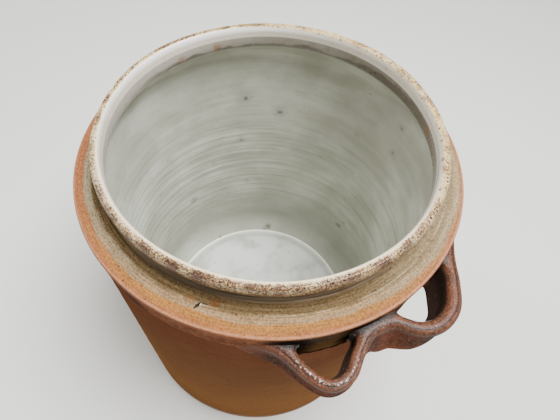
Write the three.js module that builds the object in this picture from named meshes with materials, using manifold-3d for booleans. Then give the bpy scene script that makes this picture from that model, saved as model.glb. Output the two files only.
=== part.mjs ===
// A stoneware crock of about twenty litres, open at the top, with a wavy two-loop strap
// handle on each side. Millimetres, +Z up. The origin is the centre of the underside,
// and +X runs out through the middle of the first handle.
//
// The potter builds it from seven pieces of clay. Each is a solid of its own here, and the
// faces that were joined with slip lie against each other.

import * as THREE from 'three';
import { mergeVertices } from 'three/addons/utils/BufferGeometryUtils.js';
import Module from 'manifold-3d';

const wasm = await Module();
wasm.setup();

// ---- driving dimensions ----------------------------------------------------------------

const TURNS = 72;              // facets round the pot
const ROUND_STEPS = 5;         // facets of a long curve in an outline
const SOFT_STEPS = 4;          // facets of a short one

const HEIGHT = 374;            // underside to the top of the rim
const FOOT_R = 154.1;          // outside of the wall at the underside
const FLARE = 0.0283;          // growth of the outside radius for each millimetre of height
const FOOT_CHAMFER = 2.5;

const SLAB_T = 11.5;           // thickness of the bottom
const FLOOR_R = 124;           // edge of the flat floor, where the wall's cove begins
const COVE_TOP = 40;           // height at which the cove has become the straight wall
const WALL_T = 12.5;           // thickness of the wall above the cove

const SEAM_Z = 312;            // joint between the wall and the shoulder
const SEAM_STEP = 0.6;         // the shoulder stands this much proud of the wall
const SEAM_RISE = 1.5;         // height over which it steps out
const EDGE_R = 165.8;          // the shoulder's widest point
const EDGE_Z = 338;
const EDGE_ROUND = 4;          // radius of the shoulder's soft edge
const EDGE_FLAT = 0.8;         // the edge's height as a share of its depth
const EDGE_START = -20;        // degrees below level at which the soft edge begins
const EDGE_END = 75;           // degrees above level at which it runs into the ledge
const SHOULDER_T = 9;          // thickness of the ledge
const THROAT_W = 17.5;         // how far the inside curves in over the wall
const THROAT_H = 14.5;         // height of that curve
const THROAT_END = 70;         // degrees of the curve before it turns up into the mouth
const MOUTH_LAND = 3;          // upright part of the mouth below the neck

const NECK_FOOT_R = 142;       // where the ledge meets the neck
const NECK_FOOT_Z = 348.5;
const NECK_R = 138.8;          // outside of the neck, recessed under the rim
const NECK_TOP = 363;
const MOUTH_R = 133.6;         // inside of the neck

// How far the neck stands out, and how high above its foot, where it flares at the bottom.
const NECK_FLARE = [[1.3, 1.6], [0.4, 4.6], [0, 8]];

const RIM_R = 139.6;           // middle of the rim roll
const RIM_HALF_W = 5.4;
const RIM_HALF_H = 6.6;
const RIM_LAND = 3.4;          // width of the flat land on top of the rim
const RIM_TUCK = -41;          // degrees below level at which the roll turns in to the neck

const STRAP_TOP = 326;         // height of the strap's upper edge
const STRAP_TOP_R = 4.4;       // radius of its slim upper edge
const STRAP_BOTTOM_R = 6.6;    // radius of its thicker lower edge
const STRAP_STEPS = 64;
const SECTION_H = 28;          // height that the strap's cross-section is drawn at
const JOINT_GAP = 0.3;         // clearance between the strap and the wall it is pressed on
const SEAM_MARGIN = 1;         // height the strap's back clears on both sides of the seam
const EDGE_MARGIN = 2;         // and of the shoulder's edge
const SECOND_HANDLE_TURN = 175; // degrees from the first handle, which is not quite opposite

// The strap's route: azimuth in degrees, distance of its middle from the pot's axis, and
// its height there. It leaves the wall, bows out, comes back to be pressed on the wall,
// bows out again and returns. Where it is pressed on, it spreads downwards.
const STRAP_ROUTE = [
  [-38, 159.5, 32],
  [-32, 164.8, 31],
  [-26.3, 169.8, 29],
  [-21.2, 183.6, 27],
  [-17.2, 195.4, 26],
  [-12.8, 192.0, 26],
  [-8.8, 179.2, 27],
  [-4.8, 169.6, 34],
  [-0.8, 167.4, 40],
  [3.2, 171.6, 38],
  [6.8, 187.0, 33],
  [11, 194.4, 30],
  [16.2, 193.2, 33],
  [21.2, 184.2, 38],
  [26.4, 173.4, 42],
  [32, 166.0, 44],
  [38, 159.5, 44],
];

// ---- helpers ---------------------------------------------------------------------------

const radians = THREE.MathUtils.degToRad;

const point = (radius, height) => new THREE.Vector2(radius, height);

// Outside radius of the evenly flaring wall.
const wallRadius = (height) => FOOT_R + FLARE * height;

// A solid of revolution about Z from an outline of radius and height that either starts
// and ends on the axis or closes on itself.
function turned(outline) {
  const geometry = new THREE.LatheGeometry(outline, TURNS);
  geometry.rotateX(Math.PI / 2);
  return geometry;
}

// Points along an ellipse from one angle to another, in degrees above level.
function arc(centreR, centreZ, halfW, halfH, from, to, steps) {
  const points = [];
  for (let i = 0; i <= steps; i += 1) {
    const angle = radians(from + ((to - from) * i) / steps);
    points.push(point(centreR + halfW * Math.cos(angle), centreZ + halfH * Math.sin(angle)));
  }
  return points;
}

const close = (outline) => [...outline, outline[0].clone()];

function toManifold(geometry) {
  const bare = geometry.clone();
  bare.deleteAttribute('normal');
  bare.deleteAttribute('uv');
  const merged = mergeVertices(bare, 1e-4);
  return new wasm.Manifold(new wasm.Mesh({
    numProp: 3,
    vertProperties: new Float32Array(merged.attributes.position.array),
    triVerts: new Uint32Array(merged.index.array),
  }));
}

function toGeometry(solid) {
  const mesh = solid.getMesh();
  const geometry = new THREE.BufferGeometry();
  geometry.setAttribute('position', new THREE.BufferAttribute(mesh.vertProperties, 3));
  geometry.setIndex(new THREE.BufferAttribute(mesh.triVerts, 1));
  geometry.computeVertexNormals();
  return geometry;
}

const crock = new THREE.Group();

function add(name, geometry, color, roughness) {
  const material = new THREE.MeshStandardMaterial({ color, roughness, metalness: 0 });
  const mesh = new THREE.Mesh(geometry, material);
  mesh.name = name;
  crock.add(mesh);
  return mesh;
}

// ---- bottom ----------------------------------------------------------------------------

// A round slab. Its flat top is the floor inside the pot, and the wall stands on its border.
function baseSlab() {
  return turned([
    point(0, 0),
    point(FOOT_R - FOOT_CHAMFER, 0),
    point(wallRadius(FOOT_CHAMFER), FOOT_CHAMFER),
    point(wallRadius(SLAB_T), SLAB_T),
    point(FLOOR_R, SLAB_T),
    point(0, SLAB_T),
  ]);
}

// ---- wall ------------------------------------------------------------------------------

// The thrown wall, from the slab to the joint under the shoulder. Inside, a cove carries
// the floor round into the wall.
function lowerWall() {
  const innerAtCove = wallRadius(COVE_TOP) - WALL_T;
  const cove = arc(FLOOR_R, COVE_TOP, innerAtCove - FLOOR_R, COVE_TOP - SLAB_T, -90, 0, ROUND_STEPS);
  const middle = (COVE_TOP + SEAM_Z) / 2;
  return turned(close([
    ...cove.reverse(),
    point(wallRadius(SLAB_T), SLAB_T),
    point(wallRadius(middle), middle),
    point(wallRadius(SEAM_Z), SEAM_Z),
    point(wallRadius(SEAM_Z) - WALL_T, SEAM_Z),
    point(wallRadius(middle) - WALL_T, middle),
  ]));
}

// ---- shoulder --------------------------------------------------------------------------

// The band under the widest point, and the sloping ledge above it.
function shoulder() {
  const seamR = wallRadius(SEAM_Z);
  const edgeHeight = EDGE_ROUND * EDGE_FLAT;
  const edge = arc(EDGE_R - EDGE_ROUND, EDGE_Z, EDGE_ROUND, edgeHeight, EDGE_START, EDGE_END, SOFT_STEPS);
  const inside = arc(MOUTH_R, EDGE_Z - SHOULDER_T, THROAT_W, THROAT_H, 0, THROAT_END, SOFT_STEPS);
  return turned(close([
    point(seamR - WALL_T, SEAM_Z),
    point(seamR, SEAM_Z),
    point(seamR + SEAM_STEP, SEAM_Z + SEAM_RISE),
    ...edge,
    point(NECK_FOOT_R, NECK_FOOT_Z),
    point(MOUTH_R, NECK_FOOT_Z),
    point(MOUTH_R, NECK_FOOT_Z - MOUTH_LAND),
    ...inside.reverse(),
  ]));
}

// ---- neck ------------------------------------------------------------------------------

// A low upright collar on the ledge, flared a little at its foot.
function neckCollar() {
  return turned(close([
    point(MOUTH_R, NECK_FOOT_Z),
    point(NECK_FOOT_R, NECK_FOOT_Z),
    ...NECK_FLARE.map(([out, up]) => point(NECK_R + out, NECK_FOOT_Z + up)),
    point(NECK_R, NECK_TOP),
    point(MOUTH_R, NECK_TOP),
  ]));
}

// ---- rim -------------------------------------------------------------------------------

// The roll of clay along the lip, with a narrow flat land on top for a lid to rest on.
function rimRoll() {
  const halfLand = RIM_LAND / 2;
  const centreZ = HEIGHT - RIM_HALF_H;
  const reach = RIM_HALF_W - halfLand;
  const outside = arc(RIM_R + halfLand, centreZ, reach, RIM_HALF_H, RIM_TUCK, 90, ROUND_STEPS);
  const inside = arc(RIM_R - halfLand, centreZ, reach, RIM_HALF_H, 90, 180, SOFT_STEPS);
  return turned(close([
    point(MOUTH_R, NECK_TOP),
    point(NECK_R, NECK_TOP),
    ...outside,
    ...inside,
  ]));
}

// ---- handles ---------------------------------------------------------------------------

// The strap's cross-section, slim along its upper edge and thicker along its lower one.
// Its first axis becomes the height, growing downwards, and its second the thickness.
function strapSection() {
  const top = STRAP_TOP_R;
  const bottom = SECTION_H - STRAP_BOTTOM_R;
  const slope = Math.asin((STRAP_BOTTOM_R - STRAP_TOP_R) / (bottom - top));
  const quarter = Math.PI / 2;
  const section = new THREE.Shape();
  section.absarc(top, 0, STRAP_TOP_R, quarter + slope, 3 * quarter - slope, false);
  section.absarc(bottom, 0, STRAP_BOTTOM_R, slope - quarter, quarter - slope, false);
  section.closePath();
  return section;
}

// Height of the strap at an azimuth in degrees, from its route.
function strapHeight(azimuth) {
  const last = STRAP_ROUTE.length - 1;
  const clamped = THREE.MathUtils.clamp(azimuth, STRAP_ROUTE[0][0], STRAP_ROUTE[last][0]);
  const next = Math.max(1, STRAP_ROUTE.findIndex((stop) => stop[0] >= clamped));
  const [fromAzimuth, , fromHeight] = STRAP_ROUTE[next - 1];
  const [toAzimuth, , toHeight] = STRAP_ROUTE[next];
  const share = (clamped - fromAzimuth) / (toAzimuth - fromAzimuth);
  return fromHeight + (toHeight - fromHeight) * share;
}

// The strap bent along its route, its ends and its back still whole.
function bentStrap() {
  const route = new THREE.CatmullRomCurve3(STRAP_ROUTE.map(([azimuth, radius]) => {
    const angle = radians(azimuth);
    return new THREE.Vector3(radius * Math.cos(angle), radius * Math.sin(angle), 0);
  }));
  const geometry = new THREE.ExtrudeGeometry(strapSection(), {
    steps: STRAP_STEPS,
    curveSegments: SOFT_STEPS,
    bevelEnabled: false,
    extrudePath: route,
  });
  const position = geometry.attributes.position;
  for (let i = 0; i < position.count; i += 1) {
    const azimuth = Math.atan2(position.getY(i), position.getX(i));
    const stretch = strapHeight(THREE.MathUtils.radToDeg(azimuth)) / SECTION_H;
    position.setZ(i, STRAP_TOP + position.getZ(i) * stretch);
  }
  return geometry;
}

// The outside of the pot near the straps, grown by the joint gap, for trimming their backs.
function trimmingBody() {
  const bottom = STRAP_TOP - 2 * SECTION_H;
  const seamR = wallRadius(SEAM_Z);
  return toManifold(turned([
    point(0, bottom),
    point(wallRadius(bottom) + JOINT_GAP, bottom),
    point(seamR + JOINT_GAP, SEAM_Z - SEAM_MARGIN),
    point(seamR + SEAM_STEP + JOINT_GAP, SEAM_Z + SEAM_MARGIN),
    point(EDGE_R + JOINT_GAP, EDGE_Z - EDGE_MARGIN),
    point(EDGE_R + JOINT_GAP, EDGE_Z + EDGE_MARGIN),
    point(0, EDGE_Z + EDGE_MARGIN),
  ]));
}

function strapHandle(turn) {
  const strap = bentStrap();
  strap.rotateZ(radians(turn));
  return toGeometry(toManifold(strap).subtract(trimmingBody()));
}

// ---- assembly --------------------------------------------------------------------------

const TAN_CLAY = '#a9764d';
const RED_CLAY = '#8a5a42';
const OLIVE_SLIP = '#a39b82';
const CREAM_GLAZE = '#c9bda8';
const GREY_GLAZE = '#b9bcb1';
const BROWN_STRAP = '#7a5446';

add('base_slab', baseSlab(), GREY_GLAZE, 0.35);
add('lower_wall', lowerWall(), TAN_CLAY, 0.55);
add('shoulder', shoulder(), RED_CLAY, 0.5);
add('neck_collar', neckCollar(), OLIVE_SLIP, 0.5);
add('rim_roll', rimRoll(), CREAM_GLAZE, 0.4);
add('strap_handle_a', strapHandle(0), BROWN_STRAP, 0.35);
add('strap_handle_b', strapHandle(SECOND_HANDLE_TURN), BROWN_STRAP, 0.35);

export default crock;
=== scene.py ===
"""A salt-glazed stoneware crock with double-loop strap handles, on a pale floor.

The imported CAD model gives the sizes. Every piece of clay is rebuilt here at fine detail:
the pot's five pieces as bodies of revolution with the marks of the wheel, and the two
straps as solids blended into the wall. The pot's shape and its glazes are worked out in
millimetres, which MM turns into metres. The floor, lights and camera are in metres.
"""
import math

import bmesh
import bpy
import numpy as np
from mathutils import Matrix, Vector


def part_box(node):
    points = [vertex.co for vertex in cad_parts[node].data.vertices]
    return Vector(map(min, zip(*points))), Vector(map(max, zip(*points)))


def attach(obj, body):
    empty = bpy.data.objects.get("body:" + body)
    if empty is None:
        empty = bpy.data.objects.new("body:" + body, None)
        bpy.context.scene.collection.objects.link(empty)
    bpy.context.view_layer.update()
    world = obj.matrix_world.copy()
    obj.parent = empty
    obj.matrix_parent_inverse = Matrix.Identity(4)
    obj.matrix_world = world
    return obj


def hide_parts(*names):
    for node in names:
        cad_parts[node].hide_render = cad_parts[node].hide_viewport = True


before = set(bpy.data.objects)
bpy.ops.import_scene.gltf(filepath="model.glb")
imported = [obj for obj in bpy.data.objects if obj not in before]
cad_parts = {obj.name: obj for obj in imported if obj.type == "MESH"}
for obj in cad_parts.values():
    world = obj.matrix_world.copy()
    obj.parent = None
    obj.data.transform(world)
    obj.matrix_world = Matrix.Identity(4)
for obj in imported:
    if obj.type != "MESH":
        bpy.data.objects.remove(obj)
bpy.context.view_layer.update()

import openvdb
from mathutils import Quaternion, Vector

MM = 0.001

# ---- sizes taken from the CAD model ----------------------------------------------------

RIM_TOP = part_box("rim_roll")[1].z / MM
RIM_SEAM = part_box("neck_collar")[1].z / MM
NECK_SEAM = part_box("shoulder")[1].z / MM
BAND_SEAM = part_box("lower_wall")[1].z / MM
SLAB_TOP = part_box("base_slab")[1].z / MM
EDGE_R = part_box("shoulder")[1].y / MM
RIM_OUT_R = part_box("rim_roll")[1].y / MM
NECK_FOOT_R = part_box("neck_collar")[1].y / MM
SEAM_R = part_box("lower_wall")[1].y / MM
STRAP_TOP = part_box("strap_handle_a")[1].z / MM

# ---- the rest of the pot's sizes, in millimetres ---------------------------------------

FOOT_R = 154.1
FOOT_CHAMFER = 2.5
FLARE = (SEAM_R - FOOT_R) / BAND_SEAM
WALL_T = 12.5
FLOOR_R = 124.0            # edge of the flat floor, where the wall's cove begins
FLOOR_GROOVE = (3.0, 0.9)  # width and depth of the groove round the floor's edge
FLOOR_CROWN = 0.4          # the middle of the floor stands this much above its edge
COVE_TOP = 40.0
SEAM_IN_R = SEAM_R - WALL_T
SEAM_STEP = 0.6            # the band stands this much proud of the wall below it
BAND_INSET = 0.3           # the band's top lies this much inside the widest point
EDGE_Z = 338.0
EDGE_ROUND = 4.0
LEDGE_SLOPE = 0.35         # fall of the ledge for each millimetre outwards
MOUTH_R = 134.6
NECK_R = 138.8
NECK_FLARE = ((1.3, 1.6), (0.4, 4.6), (0.0, 8.0))  # how far out, and how high above the foot
RIM_R = (MOUTH_R + RIM_OUT_R) / 2.0 + 0.2
RIM_HALF_W = (RIM_OUT_R - MOUTH_R) / 2.0 - 0.8
RIM_HALF_H = 6.2
RIM_HALF_LAND = 1.7        # half the width of the flat on top of the rim
RIM_TUCK = math.radians(-46)   # the roll turns in to the neck this far below level
COMB_PITCH = 1.45          # spacing of the lines combed on the band

# The inside under the neck and inside the neck, as radius and height.
BELLY_CURVE = ((151.0, 323.0), (149.4, 329.5), (145.2, 336.5), (140.0, 343.5), (137.0, 348.5))
THROAT_CURVE = ((137.0, 348.5), (135.9, 353.5), (135.4, 358.5), (135.3, 363.0))

SIDES = 360                # steps round the pot

# ---- the hand of the potter ------------------------------------------------------------

OVAL = 0.0193              # the top is stretched by this share one way and pressed in the other
OVAL_TURN = math.radians(32.7)
RIM_OVAL = 0.005           # and the rim a little more again
BACK_DIP = 1.8             # the rim sags this far at the back, in millimetres
BACK_TURN = math.radians(155)
RIM_SLOPE = (0.0089, 0.0484)   # the pot leans up towards +X and +Y, most at the top
FOOT_SHIFT = (-1.6, -2.6)  # the foot sits this far off the mouth's centre, in millimetres

# Small waves round the pot or along its height: size, waves a radian or a millimetre, phase.
WOBBLE = ((0.0012, 3, 1.0), (0.0007, 5, 2.2))
RIM_RIPPLE = ((0.35, 4, 0.6), (0.25, 7, 1.9))
THROWING_RINGS = ((1.0, 0.55, 0.0), (0.7, 0.93, 1.3), (0.5, 0.31, 0.4))

# Dents in the rim: azimuth in degrees and depth in millimetres.
RIM_DENTS = ((-84.0, 1.3), (-52.0, 0.6), (9.0, 0.7), (46.6, 0.6), (118.0, 0.7), (-140.0, 0.8))
DENT_WIDTH = 0.028         # in radians


def smooth(value, low, high):
    """0 below low, 1 above high and an even S between them."""
    share = np.clip((value - low) / (high - low), 0.0, 1.0)
    return share * share * (3.0 - 2.0 * share)


def waves(terms, place):
    """The sum of the waves of a table, each a size, a count and a phase."""
    return sum(size * np.sin(count * place + phase) for size, count, phase in terms)


def thrown(points):
    """The true pot's points, in millimetres, bent into the hand-thrown one's."""
    x, y, z = points.T
    height = np.clip(z / EDGE_Z, 0.0, 1.0)
    turn = np.arctan2(y, x)
    top = smooth(z, EDGE_Z + 6.0, RIM_TOP)
    oval = OVAL + top * RIM_OVAL
    stretch = 1.0 + height * (oval * np.cos(2 * (turn - OVAL_TURN)) + waves(WOBBLE, turn))
    ripple = waves(RIM_RIPPLE, turn) - BACK_DIP * np.clip(np.cos(turn - BACK_TURN), 0.0, 1.0) ** 2
    bent_x = x * stretch
    bent_y = y * stretch
    bent_z = z + height * (RIM_SLOPE[0] * bent_x + RIM_SLOPE[1] * bent_y) + top * ripple
    bent_x = bent_x + (1.0 - height) * FOOT_SHIFT[0]
    bent_y = bent_y + (1.0 - height) * FOOT_SHIFT[1]
    return np.column_stack([bent_x, bent_y, bent_z])


def wall_lines(turn, z):
    """Broad and fine lines that the wheel left on the outside of the wall."""
    broad = np.sin(z * 0.19 + 0.5 * np.sin(turn)) + 0.6 * np.sin(z * 0.43 + 2.0 + 0.4 * np.sin(2 * turn))
    fine = np.sin(z * 1.9 + 0.8 * np.sin(turn + 1.0))
    wall = smooth(z, 14.0, 60.0) * (1.0 - smooth(z, 300.0, 311.0))
    return wall * (0.1 * broad + 0.03 * fine)


def comb_lines(z):
    """Lines combed on the band under the widest point."""
    band = smooth(z, BAND_SEAM + 1.5, BAND_SEAM + 3.0) * (1.0 - smooth(z, EDGE_Z - 4.5, EDGE_Z - 2.5))
    return band * 0.2 * np.sin(z * 2.0 * math.pi / COMB_PITCH)


def throwing_rings(turn, z):
    """The spiral that the fingers left inside the wall, deepest in its lower half."""
    wall = smooth(z, 24.0, 70.0) * (1.0 - smooth(z, 300.0, 320.0))
    depth = 0.056 + 0.084 * smooth(z, 60.0, 110.0) * (1.0 - smooth(z, 190.0, 260.0))
    return wall * depth * waves(THROWING_RINGS, z + 3.0 * turn / math.pi)


def ledge_lines(radius, turn, z):
    """How far fine lines and one raised ridge lift the ledge."""
    ledge = smooth(z, EDGE_Z + 3.0, EDGE_Z + 4.0) * smooth(radius, NECK_FOOT_R + 0.5, NECK_FOOT_R + 3.0)
    ledge = ledge * (1.0 - smooth(radius, EDGE_R - 5.8, EDGE_R - 3.8))
    lines = 0.035 * (np.sin(radius * 3.1 + np.sin(turn)) + np.sin(radius * 4.7 + 1.0))
    ridge_at = NECK_FOOT_R + 8.5 + 1.2 * np.sin(turn + 0.6)
    return ledge * (lines + 0.5 * np.exp(-((radius - ridge_at) / 0.6) ** 2))


def rim_dents(turn, z):
    """Depth of the dents in the rim."""
    lip = smooth(z, RIM_SEAM + 0.5, RIM_SEAM + 3.0)
    depths = 0.0
    for azimuth, depth in RIM_DENTS:
        gap = np.angle(np.exp(1j * (turn - math.radians(azimuth))))
        depths = depths + depth * lip * np.exp(-((gap / DENT_WIDTH) ** 2))
    return depths


def wheel_marks(radius, turn, z):
    """How far the wheel's marks move the surface out, and up, in millimetres."""
    outside = smooth(radius, 147.0, 153.0)
    dents = rim_dents(turn, z)
    out = outside * (wall_lines(turn, z) + comb_lines(z)) + (1.0 - outside) * throwing_rings(turn, z)
    out = out - dents * smooth(radius, RIM_R - 1.0, RIM_R + 3.5)
    return out, ledge_lines(radius, turn, z) - 0.5 * dents


# ---- outlines --------------------------------------------------------------------------

def line(start, end, step):
    """Points from start up to but not including end."""
    start, end = np.array(start, float), np.array(end, float)
    count = max(1, round(float(np.linalg.norm(end - start)) / step))
    return [tuple(start + (end - start) * i / count) for i in range(count)]


def arc(centre, half_w, half_h, start, end, count):
    """Points of an ellipse from one angle to another, in degrees, without the last."""
    angles = [math.radians(start + (end - start) * i / count) for i in range(count)]
    return [(centre[0] + half_w * math.cos(a), centre[1] + half_h * math.sin(a)) for a in angles]


def path(*corners, step):
    """Points along straight runs between corners, without the last corner."""
    return [point for a, b in zip(corners, corners[1:]) for point in line(a, b, step)]


def curve(stops, count):
    """A smooth run through the stops, without the last of them."""
    return [tuple(point) for point in through(np.array(stops), count + 1)[:-1]]


def through(stops, count):
    """A smooth Catmull-Rom run of count rows through the rows of stops."""
    rows = np.vstack([2 * stops[0] - stops[1], stops, 2 * stops[-1] - stops[-2]])
    result = []
    for share in np.linspace(0.0, len(stops) - 1.0, count):
        i = min(int(share), len(stops) - 2)
        t = share - i
        a, b, c, d = rows[i:i + 4]
        result.append(0.5 * (2 * b + (c - a) * t + (2 * a - 5 * b + 4 * c - d) * t ** 2
                             + (3 * b - a - 3 * c + d) * t ** 3))
    return np.array(result)


def wall_radius(z):
    """Outside radius of the pot from the foot to the widest edge."""
    flare = FOOT_R + FLARE * z
    step_r = SEAM_R + SEAM_STEP
    share = np.clip((z - BAND_SEAM) / (EDGE_Z - BAND_SEAM), 0.0, 1.0)
    return np.where(z > BAND_SEAM, step_r + (EDGE_R - BAND_INSET - step_r) * share, flare)


def wall_point(z):
    return (wall_radius(z).item(), z)


def slab_outline():
    foot = (FOOT_R - FOOT_CHAMFER, FOOT_CHAMFER)
    floor_edge = (FLOOR_R, SLAB_TOP)
    groove = (FLOOR_R - FLOOR_GROOVE[0], SLAB_TOP - FLOOR_GROOVE[1])
    middle = (0.0, SLAB_TOP + FLOOR_CROWN)
    return [
        *path((0.0, 0.0), (foot[0], 0.0), step=8.0),
        *arc(foot, FOOT_CHAMFER, FOOT_CHAMFER, -90, 0, 4),
        *path(wall_point(FOOT_CHAMFER), wall_point(SLAB_TOP), floor_edge, step=3.0),
        *path(floor_edge, groove, middle, step=2.5),
        middle,
    ]


def wall_outline():
    cove_r = wall_radius(COVE_TOP).item() - WALL_T
    seam_out = (SEAM_R, BAND_SEAM)
    seam_in = (SEAM_IN_R, BAND_SEAM)
    return [
        *path(wall_point(SLAB_TOP), seam_out, step=2.5),
        *path(seam_out, seam_in, step=4.0),
        *path(seam_in, (cove_r, COVE_TOP), step=1.8),
        *arc((FLOOR_R, COVE_TOP), cove_r - FLOOR_R, COVE_TOP - SLAB_TOP, 0, -90, 18),
        *path((FLOOR_R, SLAB_TOP), wall_point(SLAB_TOP), step=6.0),
    ]


def shoulder_outline():
    edge = (EDGE_R - EDGE_ROUND, EDGE_Z)
    band_top = (wall_radius(EDGE_Z).item(), EDGE_Z - 1.5)
    neck_foot = (NECK_FOOT_R, NECK_SEAM)
    seam_out = (SEAM_R, BAND_SEAM)
    seam_in = (SEAM_IN_R, BAND_SEAM)
    step = ((SEAM_R - BAND_INSET, BAND_SEAM + 0.6), (SEAM_R + SEAM_STEP, BAND_SEAM + 1.6))
    return [
        seam_out,
        *path(*step, band_top, step=0.36),
        *arc(edge, EDGE_ROUND, EDGE_ROUND * 0.8, -16, 75, 14),
        *path((edge[0] + 1.0, EDGE_Z + 3.1), neck_foot, step=0.5),
        *path(neck_foot, BELLY_CURVE[-1], step=2.5),
        *curve(BELLY_CURVE[::-1], 20),
        *path(BELLY_CURVE[0], seam_in, step=1.8),
        *path(seam_in, seam_out, step=4.0),
    ]


def neck_outline():
    neck_foot = (NECK_FOOT_R, NECK_SEAM)
    neck_top = (NECK_R, RIM_SEAM)
    flare = [(NECK_R + out, NECK_SEAM + up) for out, up in NECK_FLARE]
    return [
        *path(neck_foot, *flare, neck_top, step=0.7),
        *path(neck_top, THROAT_CURVE[-1], step=2.0),
        *curve(THROAT_CURVE[::-1], 18),
        *path(THROAT_CURVE[0], neck_foot, step=2.5),
    ]


def rim_outline():
    reach = RIM_HALF_W - RIM_HALF_LAND
    outer = (RIM_R + RIM_HALF_LAND, RIM_TOP - RIM_HALF_H)
    inner = (RIM_R - RIM_HALF_LAND, RIM_TOP - RIM_HALF_H)
    neck_top = (NECK_R, RIM_SEAM)
    tuck = (outer[0] + reach * math.cos(RIM_TUCK), outer[1] + RIM_HALF_H * math.sin(RIM_TUCK))
    return [
        *arc(outer, reach, RIM_HALF_H, math.degrees(RIM_TUCK), 90, 20),
        *path((outer[0], RIM_TOP), (inner[0], RIM_TOP), step=0.6),
        *arc(inner, reach, RIM_HALF_H, 90, 180, 14),
        *path((inner[0] - reach, inner[1]), THROAT_CURVE[-1], step=0.8),
        *path(THROAT_CURVE[-1], neck_top, step=2.0),
        *path(neck_top, tuck, step=1.0),
    ]


# ---- turning outlines into pieces ------------------------------------------------------

def make_piece(name, points, faces, rest, sharp_angle=math.radians(40)):
    """A smooth-shaded mesh object. rest holds each point's place on the true pot."""
    mesh = bpy.data.meshes.new(name)
    mesh.from_pydata((points * MM).tolist(), [], faces)
    mesh.update()
    place = mesh.attributes.new("pot", "FLOAT_VECTOR", "POINT")
    place.data.foreach_set("vector", (rest * MM).astype(np.float32).ravel())
    mesh.polygons.foreach_set("use_smooth", [True] * len(mesh.polygons))
    mesh.set_sharp_from_angle(angle=sharp_angle)
    piece = bpy.data.objects.new(name, mesh)
    bpy.context.scene.collection.objects.link(piece)
    return piece


def turned(name, outline, on_axis=False):
    """The outline, of radius and height, swept round the pot's axis."""
    profile = np.array(outline)
    rows = len(profile)
    turns = np.linspace(0.0, 2.0 * math.pi, SIDES, endpoint=False)
    radius = np.repeat(profile[:, 0], SIDES)
    z = np.repeat(profile[:, 1], SIDES)
    turn = np.tile(turns, rows)
    out, up = wheel_marks(radius, turn, z)
    rest = np.column_stack([radius * np.cos(turn), radius * np.sin(turn), z])
    moved = np.column_stack([(radius + out) * np.cos(turn), (radius + out) * np.sin(turn), z + up])
    points = thrown(moved)
    faces = []
    bands = rows - 1 if on_axis else rows
    for row in range(bands):
        this = row * SIDES
        following = ((row + 1) % rows) * SIDES
        for i in range(SIDES):
            j = (i + 1) % SIDES
            faces.append((this + i, this + j, following + j, following + i))
    piece = make_piece(name, points, faces, rest)
    if on_axis:
        weld(piece)
    return piece


def weld(piece):
    """Closes the outline's ends on the axis into single points."""
    work = bmesh.new()
    work.from_mesh(piece.data)
    bmesh.ops.remove_doubles(work, verts=work.verts, dist=0.0001 * MM)
    work.to_mesh(piece.data)
    work.free()


# ---- the straps ------------------------------------------------------------------------

# Azimuth in degrees, distance of the strap's middle from the axis, its height there, how
# far its lower edge leans in towards the pot and the radius of its rolled top edge, all in
# millimetres.
STRAP_ROUTE = [
    (-38.0, 151.0, 22.0, 0.0, 3.6),
    (-34.0, 155.4, 25.0, 0.0, 4.2),
    (-30.0, 161.2, 28.0, 0.0, 4.8),
    (-25.8, 169.0, 29.0, 0.0, 5.0),
    (-21.2, 185.4, 27.0, 1.5, 4.3),
    (-17.2, 195.4, 26.0, 1.5, 4.4),
    (-12.8, 192.4, 26.0, 1.5, 4.5),
    (-8.8, 179.2, 27.0, 1.0, 4.8),
    (-4.8, 169.8, 34.0, -2.0, 4.8),
    (-0.8, 168.4, 41.0, -4.5, 4.8),
    (3.2, 171.6, 41.0, -4.5, 4.8),
    (6.8, 185.6, 37.0, -1.0, 5.4),
    (11.0, 192.6, 32.0, 3.0, 6.0),
    (16.2, 191.4, 34.0, 5.0, 6.2),
    (21.2, 182.2, 38.0, 5.0, 6.0),
    (26.4, 171.6, 40.0, 3.0, 5.6),
    (32.0, 163.6, 38.0, 0.0, 5.0),
    (38.0, 155.5, 32.0, 0.0, 4.4),
]
HANDLE_TURNS = (0.0, 175.0)    # how far each strap is turned round the pot, in degrees
STRAP_BOTTOM_R = 6.4
STRAP_BOX = ((112.0, -118.0, 268.0), (206.0, 118.0, 334.0))   # the first strap lies in it
VOXEL = 0.8
FIELD_REACH = 3.0          # distances from the surface are cut off at this
WAIST = 0.9                # the sides are pressed in this much between the two edges
CREASE_DEPTH = 0.9         # a crease runs along the outer side of the rolled top
CREASE_WIDTH = 1.3
BLEND = 11.0               # reach of the smeared clay between strap and wall
SINK = 0.7                 # the smear's hem lies this far under the wall's skin
HEM = 9.0                  # how far the hem runs out from the strap
ROOT_DEPTH = 2.4           # how far the strap is sunk in the wall
SOFT_TOP = 314.0           # the strap is evened out below this height,
SOFT_FULL = 304.0          # and in full below this one,
SOFT_PASSES = 8            # in this many passes
TOP_FADE = 5.0             # holds the smeared clay down just above the strap


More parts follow.
